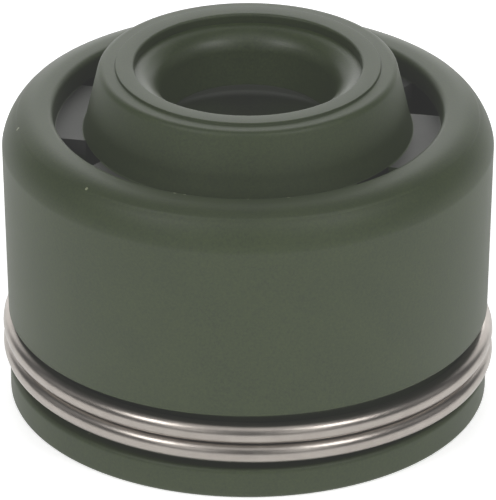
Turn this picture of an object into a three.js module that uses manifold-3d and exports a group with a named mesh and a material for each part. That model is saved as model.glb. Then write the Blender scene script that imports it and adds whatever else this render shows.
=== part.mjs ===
// A valve stem seal for an engine's cylinder head, standing on its foot, in millimetres, +Z up.
// The rubber body presses over the end of the valve guide and its lip runs on the valve stem.
// A pressed steel ring moulded into the rubber stiffens it, and a wire ring clamps the skirt.
import * as THREE from 'three';
import { mergeVertices } from 'three/addons/utils/BufferGeometryUtils.js';
import Module from 'manifold-3d';

const wasm = await Module();
wasm.setup();

// What the seal fits
const STEM_DIAMETER = 7; // the valve stem
const LIP_SQUEEZE = 0.4; // how much smaller the free lip is, across
const GUIDE_DIAMETER = 13; // the end of the valve guide
const GUIDE_SQUEEZE = 0.4; // how much smaller the free bore is, across

// Foot and skirt
const BODY_DIAMETER = 20; // the skirt where it is widest, under the rim
const FOOT_SETBACK = 0.21; // the foot's edge inside the skirt's widest, on the radius
const FOOT_DIAMETER = BODY_DIAMETER - 2 * FOOT_SETBACK;
const FOOT_HEIGHT = 1.3; // the foot's top is the groove's lower side
const FOOT_ROUND = 0.22;
const LEAD_IN = 0.5; // chamfer that starts the seal on the guide
const SKIRT_TAPER = 0.165; // how far the skirt draws in, on the radius, down to the groove
const GROOVE_EDGE_ROUND = 0.08;
const GROOVE_RELIEF = 0.1; // how much higher the groove's upper side is at its root
const RIB_HEIGHT = 0.15; // grip ribs in the guide bore
const RIB_WIDTH = 0.8;
const RIB_PITCH = 2.2;
const RIB_COUNT = 3;
const FIRST_RIB_HEIGHT = 2.6;
const GUIDE_DEPTH = 9.9; // from the foot up to the shoulder that stops on the guide

// Rim, recess and neck
const RIM_HEIGHT = 12.67;
const RIM_ROUND = 1.48; // the crown's rounding, which the bevel cuts across
const CREASE_ANGLE = 52; // where the crown meets the bevel, in degrees round that rounding
const BEVEL_BULGE = 0.09;
const RIM_WIDTH = 2.15; // from the recess out to the skirt's widest
const RECESS_DIAMETER = BODY_DIAMETER - 2 * RIM_WIDTH;
const RECESS_DEPTH = 0.87;
const RECESS_DRAFT = 0.07; // how far the recess opens on the radius, up to the rim
const RECESS_EDGE_ROUND = 0.25;
const POCKET_DEPTH = 1.6; // below the recess, where the mould's pins stood between the tabs
const NECK_ROOT_DIAMETER = 13.36;
const NECK_TOP_DIAMETER = 12.1;
const NECK_RISE = 1.89; // from the rim up to the neck's shoulder
const NECK_EDGE_ROUND = 0.18;
const COLLAR_DIAMETER = 10.74; // the raised ring round the mouth
const COLLAR_RISE = 0.1;

// Mouth and lip
const MOUTH_DIAMETER = 9.24;
const MOUTH_EDGE_ROUND = 0.1;
const MOUTH_WALL = 0.38; // from the collar's top down to the funnel
const FUNNEL_HEIGHT = 0.95; // of the rounded part
const LIP_DEPTH = 2.14; // from the funnel's top down to the lip
const LIP_DRAFT = 0.26; // how far the wall draws in above the lip, on the radius
const LIP_LAND = 0.05;
const LIP_CONE = 0.8; // height of the cone behind the lip
const THROAT_DIAMETER = 8.6;

// Steel ring moulded in
const STEEL = 0.65; // sheet thickness
const SLEEVE_COVER = 1.1; // rubber outside the sleeve
const SLEEVE_ABOVE_GROOVE = 0.85;
const BEND_RADIUS = 1; // outside of the bend
const TAB_INNER_DIAMETER = 11.2;
const TAB_WIDTH = 4.9;
const TAB_COUNT = 6;
const TAB_TURN = -11; // degrees, the first tab's direction
const NOTCH_TO_SLEEVE = 0.1; // steel left inside the sleeve between the tabs
const BOND_GAP = 0.04; // between the steel and the rubber that holds it

// Wire ring
const WIRE_DIAMETER = 0.85;
const WIRE_TURN_GAP = 0.02; // between one turn and the next
const WIRE_TURNS = 1.75;
const WIRE_START = 120; // degrees, the upper end, behind the seal
const WIRE_PROUD = 0.23; // how far the ring stands out of the skirt, on the radius
const WIRE_SIDE_PLAY = 0.044; // to each side of the groove
const WIRE_SEAT_GAP = 0.04; // to the groove's floor

// How fine the faces are
const ROUND_STEPS = 60;
const WIRE_SIDES = 10;
const EDGE_STEPS = 3;
const CURVE_STEPS = 4;

const bodyR = BODY_DIAMETER / 2;
const skirtLowR = bodyR - SKIRT_TAPER;
const footR = FOOT_DIAMETER / 2;
const boreR = (GUIDE_DIAMETER - GUIDE_SQUEEZE) / 2;
const lipR = (STEM_DIAMETER - LIP_SQUEEZE) / 2;
const mouthR = MOUTH_DIAMETER / 2;
const throatR = THROAT_DIAMETER / 2;
const recessR = RECESS_DIAMETER / 2;
const recessFloor = RIM_HEIGHT - RECESS_DEPTH;
const neckShoulder = RIM_HEIGHT + NECK_RISE;
const neckTop = neckShoulder + COLLAR_RISE;
const funnelTop = neckTop - MOUTH_WALL;
const lipTop = funnelTop - LIP_DEPTH;
const wireR = WIRE_DIAMETER / 2;
const wirePathR = skirtLowR + WIRE_PROUD - wireR;
const wireFall = (WIRE_DIAMETER + WIRE_TURN_GAP) * WIRE_TURNS;
const grooveFloorR = wirePathR - wireR - WIRE_SEAT_GAP;
const grooveTop = FOOT_HEIGHT + wireFall + WIRE_DIAMETER + 2 * WIRE_SIDE_PLAY;
const sleeveR = bodyR - SLEEVE_COVER;
const sleeveBottom = grooveTop + SLEEVE_ABOVE_GROOVE;

const point = (r, z) => new THREE.Vector2(r, z);

// Points along an ellipse's arc about (r, z), with its half widths across and up, in degrees.
function arc(r, z, across, up, from, to, steps) {
  return Array.from({ length: steps + 1 }, (_, i) => {
    const angle = THREE.MathUtils.degToRad(from + ((to - from) * i) / steps);
    return point(r + across * Math.cos(angle), z + up * Math.sin(angle));
  });
}

const rounding = (r, z, radius, from, to) => arc(r, z, radius, radius, from, to, EDGE_STEPS);

// A closed geometry as a solid that can be cut and joined.
function solidOf(geometry) {
  geometry.deleteAttribute('normal');
  geometry.deleteAttribute('uv');
  const merged = mergeVertices(geometry, 1e-5);
  return new wasm.Manifold(new wasm.Mesh({
    numProp: 3,
    vertProperties: new Float32Array(merged.attributes.position.array),
    triVerts: new Uint32Array(merged.index.array),
  }));
}

// A solid back as geometry, with flat faces.
function geometryOf(solid) {
  const { vertProperties, triVerts } = solid.getMesh();
  const indexed = new THREE.BufferGeometry();
  indexed.setAttribute('position', new THREE.BufferAttribute(vertProperties, 3));
  indexed.setIndex(new THREE.BufferAttribute(triVerts, 1));
  const geometry = indexed.toNonIndexed();
  geometry.computeVertexNormals();
  return geometry;
}

// A closed profile of radius and height, turned about Z.
function turned(profile) {
  const geometry = new THREE.LatheGeometry([...profile, profile[0]], ROUND_STEPS);
  return solidOf(geometry.rotateX(Math.PI / 2));
}

// A straight bar from the axis outwards, turned about Z by an angle in degrees.
function bar(length, width, bottom, top, degrees) {
  const geometry = new THREE.BoxGeometry(length, width, top - bottom);
  geometry.translate(length / 2, 0, (bottom + top) / 2);
  return solidOf(geometry.rotateZ(THREE.MathUtils.degToRad(degrees)));
}

// All the tabs' bars, as wide as the tabs and a gap on each side.
function tabBars(length, gap, bottom, top) {
  const bars = Array.from({ length: TAB_COUNT }, (_, i) =>
    bar(length, TAB_WIDTH + 2 * gap, bottom, top, TAB_TURN + (360 * i) / TAB_COUNT));
  return bars.reduce((all, one) => all.add(one));
}

// The foot, the groove for the wire ring and the skirt up to the rim.
function skirtOutline() {
  const edge = GROOVE_EDGE_ROUND;
  return [
    ...rounding(footR - FOOT_ROUND, FOOT_ROUND, FOOT_ROUND, -90, 0),
    ...rounding(footR - FOOT_ROUND, FOOT_HEIGHT - FOOT_ROUND, FOOT_ROUND, 0, 90),
    point(grooveFloorR, FOOT_HEIGHT),
    point(grooveFloorR, grooveTop + GROOVE_RELIEF),
    ...rounding(skirtLowR - edge, grooveTop + edge, edge, -90, 0),
  ];
}

// The bevel, the crease and the crown above it, in to the recess.
function rimOutline() {
  const innerR = recessR + RECESS_DRAFT + RECESS_EDGE_ROUND;
  const round = Math.min(RIM_ROUND, bodyR - innerR);
  const crown = arc(bodyR - round, RIM_HEIGHT - round, round, round, CREASE_ANGLE, 90, EDGE_STEPS);
  const low = point(bodyR, RIM_HEIGHT - round);
  const across = crown[0].clone().sub(low).normalize();
  const bulge = point(across.y, -across.x).multiplyScalar(2 * BEVEL_BULGE);
  const middle = low.clone().add(crown[0]).divideScalar(2).add(bulge);
  const bevel = new THREE.QuadraticBezierCurve(low, middle, crown[0]).getPoints(CURVE_STEPS);
  return [
    ...bevel,
    ...crown.slice(1),
    ...rounding(innerR, RIM_HEIGHT - RECESS_EDGE_ROUND, RECESS_EDGE_ROUND, 90, 180),
    point(recessR, recessFloor),
  ];
}

// The neck, its collar, the mouth, the funnel down to the lip and the throat behind it.
function neckOutline() {
  const topR = NECK_TOP_DIAMETER / 2;
  const collarR = COLLAR_DIAMETER / 2;
  const edge = NECK_EDGE_ROUND;
  const mouthEdge = MOUTH_EDGE_ROUND;
  const funnelWidth = mouthR - lipR - LIP_DRAFT;
  const funnelBottom = funnelTop - FUNNEL_HEIGHT;
  return [
    point(NECK_ROOT_DIAMETER / 2, recessFloor),
    ...rounding(topR - edge, neckShoulder - edge, edge, 0, 90),
    point(collarR, neckShoulder),
    point(collarR, neckTop),
    ...rounding(mouthR + mouthEdge, neckTop - mouthEdge, mouthEdge, 90, 180),
    ...arc(mouthR, funnelBottom, funnelWidth, FUNNEL_HEIGHT, 90, 180, CURVE_STEPS),
    point(lipR, lipTop),
    point(lipR, lipTop - LIP_LAND),
    point(throatR, lipTop - LIP_CONE),
    point(throatR, GUIDE_DEPTH),
  ];
}

// The bore for the valve guide, from its shoulder down past the grip ribs to the lead-in.
function boreOutline() {
  const points = [point(boreR, GUIDE_DEPTH)];
  for (let i = RIB_COUNT - 1; i >= 0; i--) {
    const z = FIRST_RIB_HEIGHT + i * RIB_PITCH;
    points.push(...arc(boreR, z, RIB_HEIGHT, RIB_WIDTH / 2, 90, 270, 4));
  }
  return [...points, point(boreR, LEAD_IN), point(boreR + LEAD_IN, 0)];
}

// The pressed steel ring, or with a gap the space that it takes in the rubber.
function steelRing(gap) {
  const bendR = sleeveR - BEND_RADIUS;
  const bendZ = recessFloor - BEND_RADIUS;
  const inside = BEND_RADIUS - STEEL - gap;
  const tabR = TAB_INNER_DIAMETER / 2 - gap;
  const outside = BEND_RADIUS + gap;
  const blank = turned([
    point(sleeveR - STEEL - gap, sleeveBottom - gap),
    point(sleeveR + gap, sleeveBottom - gap),
    ...arc(bendR, bendZ, outside, outside, 0, 90, CURVE_STEPS),
    point(tabR, recessFloor + gap),
    point(tabR, recessFloor - STEEL - gap),
    ...arc(bendR, bendZ, inside, inside, 90, 0, CURVE_STEPS),
  ]);
  const notchR = sleeveR - STEEL - NOTCH_TO_SLEEVE - gap;
  const below = bendZ - STEEL;
  const above = recessFloor + STEEL;
  const disc = turned([point(0, below), point(notchR, below), point(notchR, above), point(0, above)]);
  return blank.subtract(disc.subtract(tabBars(bodyR, gap, below, above)));
}

// The pockets that the mould's pins leave in the rubber between the tabs.
function pockets() {
  const rootR = NECK_ROOT_DIAMETER / 2;
  const floor = recessFloor - POCKET_DEPTH;
  const ring = turned([
    point(rootR, floor),
    point(recessR, floor),
    point(recessR, recessFloor + BOND_GAP),
    point(rootR, recessFloor + BOND_GAP),
  ]);
  return ring.subtract(tabBars(bodyR, 0, floor - STEEL, recessFloor + STEEL));
}

function sealBody() {
  const outline = [...skirtOutline(), ...rimOutline(), ...neckOutline(), ...boreOutline()];
  const body = turned(outline).subtract(steelRing(BOND_GAP)).subtract(pockets());
  return geometryOf(body);
}

// The wire's centre line, from its upper end down round the groove.
class WirePath extends THREE.Curve {
  getPoint(t, target = new THREE.Vector3()) {
    const angle = THREE.MathUtils.degToRad(WIRE_START) + t * WIRE_TURNS * 2 * Math.PI;
    const middle = (FOOT_HEIGHT + grooveTop) / 2;
    return target.set(wirePathR * Math.cos(angle), wirePathR * Math.sin(angle), middle + wireFall * (0.5 - t));
  }
}

function clampRing() {
  const section = new THREE.Shape().absarc(0, 0, wireR, 0, 2 * Math.PI);
  return new THREE.ExtrudeGeometry(section, {
    steps: Math.round(ROUND_STEPS * WIRE_TURNS),
    curveSegments: WIRE_SIDES / 2,
    extrudePath: new WirePath(),
  });
}

const rubber = new THREE.MeshStandardMaterial({ color: 0x59634f, roughness: 0.6, metalness: 0 });
const steel = new THREE.MeshStandardMaterial({ color: 0x74736f, roughness: 0.5, metalness: 0.9 });
const wire = new THREE.MeshStandardMaterial({ color: 0xa39c92, roughness: 0.35, metalness: 1 });

function piece(name, geometry, material) {
  const mesh = new THREE.Mesh(geometry, material);
  mesh.name = name;
  return mesh;
}

const seal = new THREE.Group();
seal.add(piece('seal_body', sealBody(), rubber));
seal.add(piece('stiffener_insert', geometryOf(steelRing(0)), steel));
seal.add(piece('clamp_ring', clampRing(), wire));

export default seal;
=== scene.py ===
import math

import bmesh
import bpy
from mathutils import Matrix, Vector


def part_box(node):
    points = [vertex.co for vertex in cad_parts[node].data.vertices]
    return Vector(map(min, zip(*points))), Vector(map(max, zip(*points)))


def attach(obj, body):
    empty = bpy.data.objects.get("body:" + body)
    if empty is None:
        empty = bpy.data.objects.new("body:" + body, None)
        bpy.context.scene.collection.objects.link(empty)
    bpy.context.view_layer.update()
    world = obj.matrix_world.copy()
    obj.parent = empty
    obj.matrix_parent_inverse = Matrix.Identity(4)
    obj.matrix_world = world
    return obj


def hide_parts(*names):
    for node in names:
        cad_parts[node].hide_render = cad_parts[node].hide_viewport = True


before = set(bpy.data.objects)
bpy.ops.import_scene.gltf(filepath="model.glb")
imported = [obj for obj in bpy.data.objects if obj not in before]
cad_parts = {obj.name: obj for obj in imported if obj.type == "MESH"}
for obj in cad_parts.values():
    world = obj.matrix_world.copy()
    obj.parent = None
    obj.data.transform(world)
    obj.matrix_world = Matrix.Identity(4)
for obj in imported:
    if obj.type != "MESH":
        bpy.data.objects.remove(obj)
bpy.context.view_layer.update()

# The seal's body is one moulding of grey-green fluoro rubber: the foot, the groove for the wire
# ring, the tapered skirt, the bevelled rim, the recess round the neck, the neck with its mouth
# and sealing lip, and the bore that grips the valve guide. It holds the steel ring moulded in.
MM = 0.001
body_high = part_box("seal_body")[1]
insert_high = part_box("stiffener_insert")[1]
ring_low, ring_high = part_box("clamp_ring")
skirt_r = body_high[0] / MM
neck_top = body_high[2] / MM
tab_top = insert_high[2] / MM
ring_r = ring_high[0] / MM

# The wire ring and its groove, in mm like every size of the seal
WIRE_DIAMETER = 0.85
RING_PROUD = 0.23
RING_PLAY = 0.044
RING_SEAT_GAP = 0.01
GROOVE_SLOPE = 0.1
GROOVE_ROUND = 0.12
GROOVE_EDGE = 0.1
# Foot and bore
FOOT_R = 9.79
FOOT_ROUND = 0.22
BORE_R = 6.3
BORE_EDGE = 0.1
LEAD_IN = 0.5
SHOULDER_Z = 9.9
SHOULDER_ROUND = 0.15
RIB_HEIGHTS = (7.0, 4.8, 2.6)
RIB_DEPTH = 0.15
RIB_HALF_HEIGHT = 0.4
RIB_STEPS = 8
# Rim, with a fine crease between its bevel and its crown
RIM_ROUND = 1.48
CROWN_STEPS = 10
CREASE_ANGLE = 52
CREASE_TURN = 2
CREASE_WIDTH = 0.05
CREASE_ROUND = 0.02
BEVEL_BULGE = 0.09
BEVEL_STEPS = 9
BEVEL_EDGE = 0.08
# Recess and its pockets
RECESS_R = 7.85
RECESS_DRAFT = 0.07
RECESS_EDGE = 0.25
POCKET_DEPTH = 1.6
POCKET_ROUND = 0.15
POCKET_STEPS = 144
POCKET_OVERLAP = 0.02
TAB_COUNT = 6
TAB_WIDTH = 4.9
TAB_TURN = -11
TAB_BAR_LENGTH = 9
TAB_BAR_HEIGHT = 4
# Neck, mouth and lip
NECK_RISE = 1.89
NECK_ROOT_R = 6.68
NECK_ROOT_ROUND = 0.06
NECK_TOP_R = 6.05
NECK_EDGE = 0.25
COLLAR_R = 5.37
COLLAR_RISE = 0.1
COLLAR_DRAFT = 0.02
MOUTH_R = 4.62
MOUTH_WALL = 0.38
MOUTH_EDGE = 0.12
FUNNEL_HEIGHT = 0.95
FUNNEL_START = 88
FUNNEL_END = 178
FUNNEL_STEPS = 24
LIP_R = 3.3
LIP_DEPTH = 2.14
LIP_DRAFT = 0.26
LIP_LAND = 0.06
LIP_ROUND = 0.02
LIP_CONE = 0.8
THROAT_R = 4.3
THROAT_ROUND = 0.3
SMALL_ROUND = 0.05
FINE_ROUND = 0.03
ROUND_STEPS = 288

foot_top = ring_low[2] / MM - RING_PLAY
groove_top = ring_high[2] / MM + RING_PLAY
skirt_low_r = ring_r - RING_PROUD
groove_r = ring_r - WIRE_DIAMETER - RING_SEAT_GAP
shoulder_z = neck_top - COLLAR_RISE
rim_top = shoulder_z - NECK_RISE
funnel_top = neck_top - MOUTH_WALL
lip_z = funnel_top - LIP_DEPTH


def arc(r, z, across, up, start, end, steps):
    """Points (r, z, no fillet) along an ellipse's arc, from one angle in degrees to another."""
    angles = [math.radians(start + (end - start) * i / steps) for i in range(steps + 1)]
    return [(r + across * math.cos(a), z + up * math.sin(a), 0) for a in angles]


def filleted(corners, steps=5):
    """The outline with each corner (r, z, fillet) rounded as far as its fillet reaches."""
    outline = []
    for i, (r, z, fillet) in enumerate(corners):
        here = Vector((r, z))
        if not fillet:
            outline.append(here)
            continue
        before = (Vector(corners[i - 1][:2]) - here).normalized() * fillet
        after = (Vector(corners[(i + 1) % len(corners)][:2]) - here).normalized() * fillet
        for k in range(steps + 1):
            t = k / steps
            outline.append(here + before * (1 - t) ** 2 + after * t ** 2)
    return outline


def turned(name, outline, steps=ROUND_STEPS):
    """A closed outline of radius and height in mm, turned about Z into a mesh."""
    verts = []
    for k in range(steps):
        turn = 2 * math.pi * k / steps
        verts += [(r * MM * math.cos(turn), r * MM * math.sin(turn), z * MM) for r, z in outline]
    count = len(outline)
    faces = []
    for k in range(steps):
        here, there = k * count, (k + 1) % steps * count
        for i in range(count):
            j = (i + 1) % count
            faces.append((here + i, there + i, there + j, here + j))
    mesh = bpy.data.meshes.new(name)
    mesh.from_pydata(verts, [], faces)
    piece = bpy.data.objects.new(name, mesh)
    bpy.context.collection.objects.link(piece)
    return piece


def cut(piece, cutter):
    """Cuts one closed mesh out of another."""
    boolean = piece.modifiers.new("cut", "BOOLEAN")
    boolean.operation = "DIFFERENCE"
    boolean.solver = "EXACT"
    boolean.object = cutter
    depsgraph = bpy.context.evaluated_depsgraph_get()
    mesh = bpy.data.meshes.new_from_object(piece.evaluated_get(depsgraph))
    piece.modifiers.remove(boolean)
    piece.data = mesh


def foot_and_skirt():
    return [
        (BORE_R + LEAD_IN, 0, SMALL_ROUND),
        (FOOT_R, 0, FOOT_ROUND),
        (FOOT_R, foot_top, FOOT_ROUND),
        (groove_r, foot_top, GROOVE_ROUND),
        (groove_r, groove_top + GROOVE_SLOPE, GROOVE_ROUND),
        (skirt_low_r, groove_top, GROOVE_EDGE),
    ]


def rim():
    """The bevel, the crease above it, the round crown and the recess's wall."""
    centre = Vector((skirt_r - RIM_ROUND, rim_top - RIM_ROUND))
    crown = arc(*centre, RIM_ROUND, RIM_ROUND, CREASE_ANGLE + CREASE_TURN, 90, CROWN_STEPS)
    low = Vector((skirt_r, centre.y))
    turn = math.radians(CREASE_ANGLE)
    crease = centre + Vector((math.cos(turn), math.sin(turn))) * RIM_ROUND
    side = (crease - low).normalized()
    bulge = Vector((side.y, -side.x)) * BEVEL_BULGE
    bevel = []
    for k in range(1, BEVEL_STEPS):
        t = k / BEVEL_STEPS
        bevel.append((*(low.lerp(crease, t) + bulge * 4 * t * (1 - t)), 0))
    dip = crease - (crease - centre).normalized() * CREASE_WIDTH / 2
    return [
        (*low, BEVEL_EDGE),
        *bevel,
        (*dip, CREASE_ROUND),
        *crown,
        (RECESS_R + RECESS_DRAFT, rim_top, RECESS_EDGE),
        (RECESS_R, tab_top, SMALL_ROUND),
    ]


def neck():
    """The neck's outside, its mouth, and the funnel down to the lip and the throat."""
    funnel = arc(
        MOUTH_R, funnel_top - FUNNEL_HEIGHT, MOUTH_R - LIP_R - LIP_DRAFT, FUNNEL_HEIGHT,
        FUNNEL_START, FUNNEL_END, FUNNEL_STEPS)
    return [
        (NECK_ROOT_R, tab_top, NECK_ROOT_ROUND),
        (NECK_TOP_R, shoulder_z, NECK_EDGE),
        (COLLAR_R + COLLAR_DRAFT, shoulder_z, FINE_ROUND),
        (COLLAR_R, neck_top, FINE_ROUND),
        (MOUTH_R, neck_top, MOUTH_EDGE),
        (MOUTH_R, funnel_top, FINE_ROUND),
        *funnel,
        (LIP_R, lip_z, FINE_ROUND),
        (LIP_R, lip_z - LIP_LAND, LIP_ROUND),
        (THROAT_R, lip_z - LIP_CONE, THROAT_ROUND),
        (THROAT_R, SHOULDER_Z, SHOULDER_ROUND),
    ]


def bore():
    corners = [(BORE_R, SHOULDER_Z, BORE_EDGE)]
    for z in RIB_HEIGHTS:
        corners += arc(BORE_R, z, RIB_DEPTH, RIB_HALF_HEIGHT, 90, 270, RIB_STEPS)
    return [*corners, (BORE_R, LEAD_IN, BORE_EDGE)]


def pocket_cutter():
    """The ring of pockets between the steel tabs, as the mould's pins leave them."""
    floor = tab_top - POCKET_DEPTH
    top = tab_top + POCKET_OVERLAP
    ring = turned("pockets", filleted([
        (NECK_ROOT_R, floor, POCKET_ROUND),
        (RECESS_R, floor, POCKET_ROUND),
        (RECESS_R, top, 0),
        (NECK_ROOT_R, top, 0),
    ]), POCKET_STEPS)
    for k in range(TAB_COUNT):
        turn = math.radians(360 / TAB_COUNT * k + TAB_TURN)
        bpy.ops.mesh.primitive_cube_add(size=1)
        bar = bpy.context.object
        bar.data.transform(Matrix.Diagonal(
            (TAB_BAR_LENGTH * MM, TAB_WIDTH * MM, TAB_BAR_HEIGHT * MM, 1)))
        bar.data.transform(Matrix.Translation((TAB_BAR_LENGTH / 2 * MM, 0, tab_top * MM)))
        bar.data.transform(Matrix.Rotation(turn, 4, "Z"))
        cut(ring, bar)
        bpy.data.objects.remove(bar)
    return ring


def smooth(piece, degrees):
    """Shades a mesh smooth, apart from edges sharper than this."""
    piece.data.polygons.foreach_set("use_smooth", [True] * len(piece.data.polygons))
    piece.data.set_sharp_from_angle(angle=math.radians(degrees))


class Shade:
    """A socket of a material. Sums and products with it add their Math nodes."""

    def __init__(self, tree, socket=None):
        self.tree = tree
        self.socket = socket

    def node(self, kind, settings=(), inputs=(), output=0):
        """A new node of this kind, with its settings and the values or links of its sockets."""
        made = self.tree.nodes.new(kind)
        for name, value in dict(settings).items():
            setattr(made, name, value)
        for name, value in dict(inputs).items():
            if isinstance(value, Shade):
                self.tree.links.new(value.socket, made.inputs[name])
            else:
                made.inputs[name].default_value = value
        return Shade(self.tree, made.outputs[output])

    def maths(self, operation, first, second=0.0):
        return self.node("ShaderNodeMath", {"operation": operation}, {0: first, 1: second})

    def __add__(self, other):
        return self.maths("ADD", self, other)

    def __radd__(self, other):
        return self.maths("ADD", other, self)

    def __sub__(self, other):
        return self.maths("SUBTRACT", self, other)

    def __rsub__(self, other):
        return self.maths("SUBTRACT", other, self)

    def __mul__(self, other):
        return self.maths("MULTIPLY", self, other)

    def __rmul__(self, other):
        return self.maths("MULTIPLY", other, self)

    def scaled(self, factors):
        """A vector times a vector."""
        return self.node("ShaderNodeVectorMath", {"operation": "MULTIPLY"}, {0: self, 1: factors})

    def away_from(self, spot):
        """How far a vector is from a spot."""
        return self.node(
            "ShaderNodeVectorMath", {"operation": "DISTANCE"}, {0: self, 1: spot}, "Value")

    def below(self, limit):
        """1 where this is less than the limit, and 0 elsewhere."""
        return self.maths("LESS_THAN", self, limit)

    def mixed(self, first, second):
        """Two colours mixed by this mask. The first may be a socket."""
        first = (*first, 1) if isinstance(first, tuple) else first
        return self.node(
            "ShaderNodeMix", {"data_type": "RGBA"}, {0: self, 6: first, 7: (*second, 1)}, 2)

    def speckle(self, place, per_mm, detail=2, rough=0.5):
        """Noise from 0 to 1 with so many grains to the millimetre."""
        return self.node(
            "ShaderNodeTexNoise",
            {},
            {"Vector": place, "Scale": per_mm / MM, "Detail": detail, "Roughness": rough},
        )

    def bump(self, strength, depth):
        """A normal that this height roughens, with the depth in mm."""
        return self.node(
            "ShaderNodeBump", {}, {"Strength": strength, "Distance": depth * MM, "Height": self})


def surface(name):
    """An empty material and the Shade that adds nodes to it."""
    material = bpy.data.materials.new(name)
    material.use_nodes = True
    material.node_tree.nodes.clear()
    return material, Shade(material.node_tree)


def finish_with(shade, varying, fixed):
    """The material's one shader: varying sockets take links, fixed ones are set on it."""
    shader = shade.node("ShaderNodeBsdfPrincipled", {}, {**fixed, **varying})
    output = shade.tree.nodes.new("ShaderNodeOutputMaterial")
    shade.tree.links.new(shader.socket, output.inputs["Surface"])


RUBBER_DARK = (0.011, 0.024, 0.001)
RUBBER_LIGHT = (0.032, 0.050, 0.008)
RUBBER_ROUGHNESS = 0.46
FUNNEL_POLISH = 0.1
RUBBER_SHARP_ANGLE = 28
# Pale flecks painted on the rim as painted highlights, small glints along its inner edge and on
# the crown, as x and y
GLINT_COLOUR = (0.22, 0.24, 0.15)
GLINT_R = 0.06
GLINT_SPOTS = ((-2.51, -7.66), (-2.9, -7.55), (0, -8.05), (1.6, -7.9), (-6.42, -6.75), (-9.3, -1.3))


def rubber_finish():
    """A fine moulded grain, smoother in the funnel, where the mould is polished."""
    material, shade = surface("moulded_rubber")
    place = shade.node("ShaderNodeTexCoord", output=3)
    grain = shade.speckle(place, per_mm=9, detail=3, rough=0.7)
    cloud = shade.speckle(place, per_mm=0.5, detail=3)
    colour = (grain * 2.2 + cloud * 0.5 - 0.85).mixed(RUBBER_DARK, RUBBER_LIGHT)
    flat = place.scaled((1, 1, 0))
    # Each spot is a painted highlight: a pale fleck mixed into the rubber's colour
    for x, y in GLINT_SPOTS:
        glint = flat.away_from((x * MM, y * MM, 0)).below(GLINT_R * MM)
        colour = glint.mixed(colour, GLINT_COLOUR)
    funnel = flat.away_from((0, 0, 0)).below(MOUTH_R * MM)
    roughness = RUBBER_ROUGHNESS + grain * 0.14 - funnel * FUNNEL_POLISH
    finish_with(
        shade,
        {"Base Color": colour, "Roughness": roughness, "Normal": grain.bump(0.35, 0.01)},
        {"IOR": 1.5},
    )
    return material


body = turned("seal_body_rubber", filleted([*foot_and_skirt(), *rim(), *neck(), *bore()]))
pockets = pocket_cutter()
cut(body, pockets)
cut(body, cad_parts["stiffener_insert"])
bpy.data.objects.remove(pockets)
smooth(body, RUBBER_SHARP_ANGLE)
body.data.materials.clear()
body.data.materials.append(rubber_finish())
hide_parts("seal_body")
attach(body, "root")

# The stiffening ring is pressed from steel sheet, phosphated dull grey so that the rubber bonds to
# it. Its sleeve is buried in the wall and six tabs are bent in from it; only their tops show.
STEEL_DARK = (0.04, 0.042, 0.037)
STEEL_LIGHT = (0.085, 0.087, 0.08)
STEEL_ROUGHNESS = 0.5


def steel_finish():
    material, shade = surface("phosphated_steel")
    place = shade.node("ShaderNodeTexCoord", output=3)
    grain = shade.speckle(place, per_mm=14, detail=3, rough=0.7)
    cloud = shade.speckle(place, per_mm=1.5)
    colour = (grain * 0.6 + cloud * 0.6 - 0.1).mixed(STEEL_DARK, STEEL_LIGHT)
    roughness = STEEL_ROUGHNESS + cloud * 0.15
    finish_with(
        shade,
        {"Base Color": colour, "Roughness": roughness, "Normal": grain.bump(0.4, 0.008)},
        {"Metallic": 0.4},
    )
    return material


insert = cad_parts["stiffener_insert"]
insert.data.materials.clear()
insert.data.materials.append(steel_finish())

# The clamp ring is drawn spring wire wound in nearly two turns, cut square at both ends. It is
# sprung over the foot into the groove, and its ends lie behind the seal.
WIRE_TURNS = 1.75
WIRE_START = 120
WIRE_CHAMFER = 0.12
WIRE_STEPS = 420
WIRE_SIDES = 28
WIRE_SHARP_ANGLE = 35
WIRE_DARK = (0.30, 0.27, 0.245)
WIRE_LIGHT = (0.43, 0.395, 0.36)
WIRE_ROUGHNESS = 0.27


def wound_wire(name):
    """The wire's round section swept down its helix, with a small chamfer at each end."""
    wire_r = WIRE_DIAMETER / 2
    path_r = ring_r - wire_r
    high = ring_high[2] / MM - wire_r
    low = ring_low[2] / MM + wire_r
    chamfer = WIRE_CHAMFER / (2 * math.pi * path_r * WIRE_TURNS)
    places = [0, chamfer, *(k / WIRE_STEPS for k in range(1, WIRE_STEPS)), 1 - chamfer, 1]
    mesh = bmesh.new()
    rings = []
    for t in places:
        turn = math.radians(WIRE_START) + 2 * math.pi * WIRE_TURNS * t
        out = Vector((math.cos(turn), math.sin(turn), 0))
        middle = out * path_r + Vector((0, 0, high + (low - high) * t))
        size = wire_r - (WIRE_CHAMFER if t in (0, 1) else 0)
        ring = []
        for k in range(WIRE_SIDES):
            angle = 2 * math.pi * k / WIRE_SIDES
            spot = middle + (out * math.cos(angle) + Vector((0, 0, math.sin(angle)))) * size
            ring.append(mesh.verts.new(spot * MM))
        rings.append(ring)
    for first, second in zip(rings, rings[1:]):
        for k in range(WIRE_SIDES):
            j = (k + 1) % WIRE_SIDES
            mesh.faces.new((first[k], second[k], second[j], first[j]))
    mesh.faces.new(rings[0])
    mesh.faces.new(rings[-1])
    bmesh.ops.recalc_face_normals(mesh, faces=mesh.faces)
    data = bpy.data.meshes.new(name)
    mesh.to_mesh(data)
    mesh.free()
    piece = bpy.data.objects.new(name, data)
    bpy.context.collection.objects.link(piece)
    return piece


def wire_finish():
    material, shade = surface("drawn_wire")
    place = shade.node("ShaderNodeTexCoord", output=3)
    grain = shade.speckle(place, per_mm=10, rough=0.6)
    cloud = shade.speckle(place, per_mm=1.2)
    colour = (cloud * 0.8 + grain * 0.3 - 0.05).mixed(WIRE_DARK, WIRE_LIGHT)
    roughness = WIRE_ROUGHNESS + grain * 0.1
    finish_with(
        shade,
        {"Base Color": colour, "Roughness": roughness, "Normal": grain.bump(0.2, 0.005)},
        {"Metallic": 1.0},
    )
    return material


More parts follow.
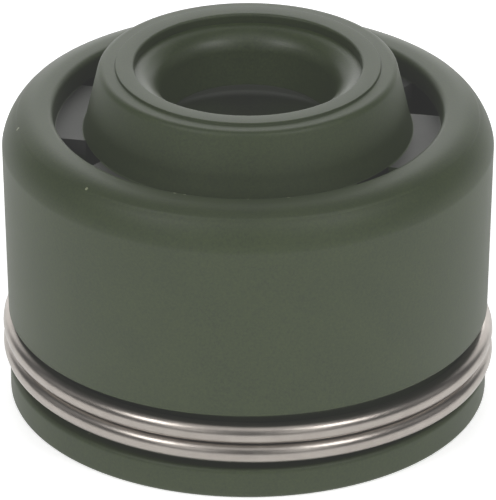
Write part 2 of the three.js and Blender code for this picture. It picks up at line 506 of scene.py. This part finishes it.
ring = wound_wire("clamp_ring_wire")
smooth(ring, WIRE_SHARP_ANGLE)
ring.data.materials.append(wire_finish())
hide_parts("clamp_ring")
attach(ring, "root")

# The seal stands on a plain white sweep that glows, so that it stays white round the foot.
# Soft boxes stand round it, the strong ones high at both sides and low behind.
FLOOR_SIZE = 3
FLOOR_WHITE = 0.85
FLOOR_ROUGHNESS = 0.8
FLOOR_GLOW = 0.6
ROOM_GLOW = 0.02
LIGHT_DISTANCE = 0.35
bpy.ops.mesh.primitive_plane_add(size=FLOOR_SIZE)
floor = bpy.context.object
floor.name = "studio_floor"
material, shade = surface("white_sweep")
finish_with(shade, {}, {
    "Base Color": (FLOOR_WHITE, FLOOR_WHITE, FLOOR_WHITE, 1),
    "Roughness": FLOOR_ROUGHNESS,
    "Emission Color": (1, 1, 1, 1),
    "Emission Strength": FLOOR_GLOW,
})
floor.data.materials.append(material)

world = bpy.data.worlds.new("white_studio")
world.use_nodes = True
room = world.node_tree.nodes["Background"]
room.inputs["Color"].default_value = (1, 1, 1, 1)
room.inputs["Strength"].default_value = ROOM_GLOW
bpy.context.scene.world = world


def softbox(name, azimuth, elevation, size, watts):
    """A square soft light aimed at the seal. Azimuth 0 is behind the camera, in degrees."""
    light = bpy.data.lights.new(name, "AREA")
    light.shape = "SQUARE"
    light.size = size
    light.energy = watts
    lamp = bpy.data.objects.new(name, light)
    turn, rise = math.radians(azimuth), math.radians(elevation)
    away = Vector((
        math.sin(turn) * math.cos(rise), -math.cos(turn) * math.cos(rise), math.sin(rise)))
    lamp.location = away * LIGHT_DISTANCE
    lamp.rotation_mode = "QUATERNION"
    lamp.rotation_quaternion = away.to_track_quat("Z", "Y")
    bpy.context.collection.objects.link(lamp)


softbox("top_softbox", 0, 70, 0.26, 0.18)
for side in (-1, 1):
    softbox("front_softbox", side * 26, 24, 0.13, 0.07)
    softbox("high_side_softbox", side * 50, 46, 0.1, 0.31)
    softbox("side_softbox", side * 95, 24, 0.16, 0.03)
    softbox("rear_side_softbox", side * 156, 12, 0.26, 0.34)
softbox("low_back_softbox", 180, 16, 0.2, 0.2)
softbox("back_softbox", 180, 44, 0.2, 0.18)

# The camera stands in front and above with a long lens. Its picture has the blacks lifted a
# little, as the flare of a white studio does.
CAMERA_ELEVATION = math.radians(27.603)
CAMERA_DISTANCE = 0.3
AIM_HEIGHT = 6.162 * MM
PHOTO_HEIGHT_PX = 500
FOCAL_PX = 7324
SENSOR_WIDTH = 36
BLACK_LIFT = 0.028
camera_data = bpy.data.cameras.new("camera")
camera = bpy.data.objects.new("camera", camera_data)
bpy.context.collection.objects.link(camera)
camera_data.sensor_width = SENSOR_WIDTH
camera_data.lens = FOCAL_PX * SENSOR_WIDTH / PHOTO_HEIGHT_PX
camera_data.clip_start = 0.01
camera_data.clip_end = 10
back = Vector((0, -math.cos(CAMERA_ELEVATION), math.sin(CAMERA_ELEVATION)))
camera.location = Vector((0, 0, AIM_HEIGHT)) + back * CAMERA_DISTANCE
camera.rotation_mode = "QUATERNION"
camera.rotation_quaternion = back.to_track_quat("Z", "Y")
bpy.context.scene.camera = camera
view = bpy.context.scene.view_settings
view.view_transform = "Standard"
view.use_curve_mapping = True
view.curve_mapping.black_level = (-BLACK_LIFT, -BLACK_LIFT, -BLACK_LIFT)
view.curve_mapping.update()
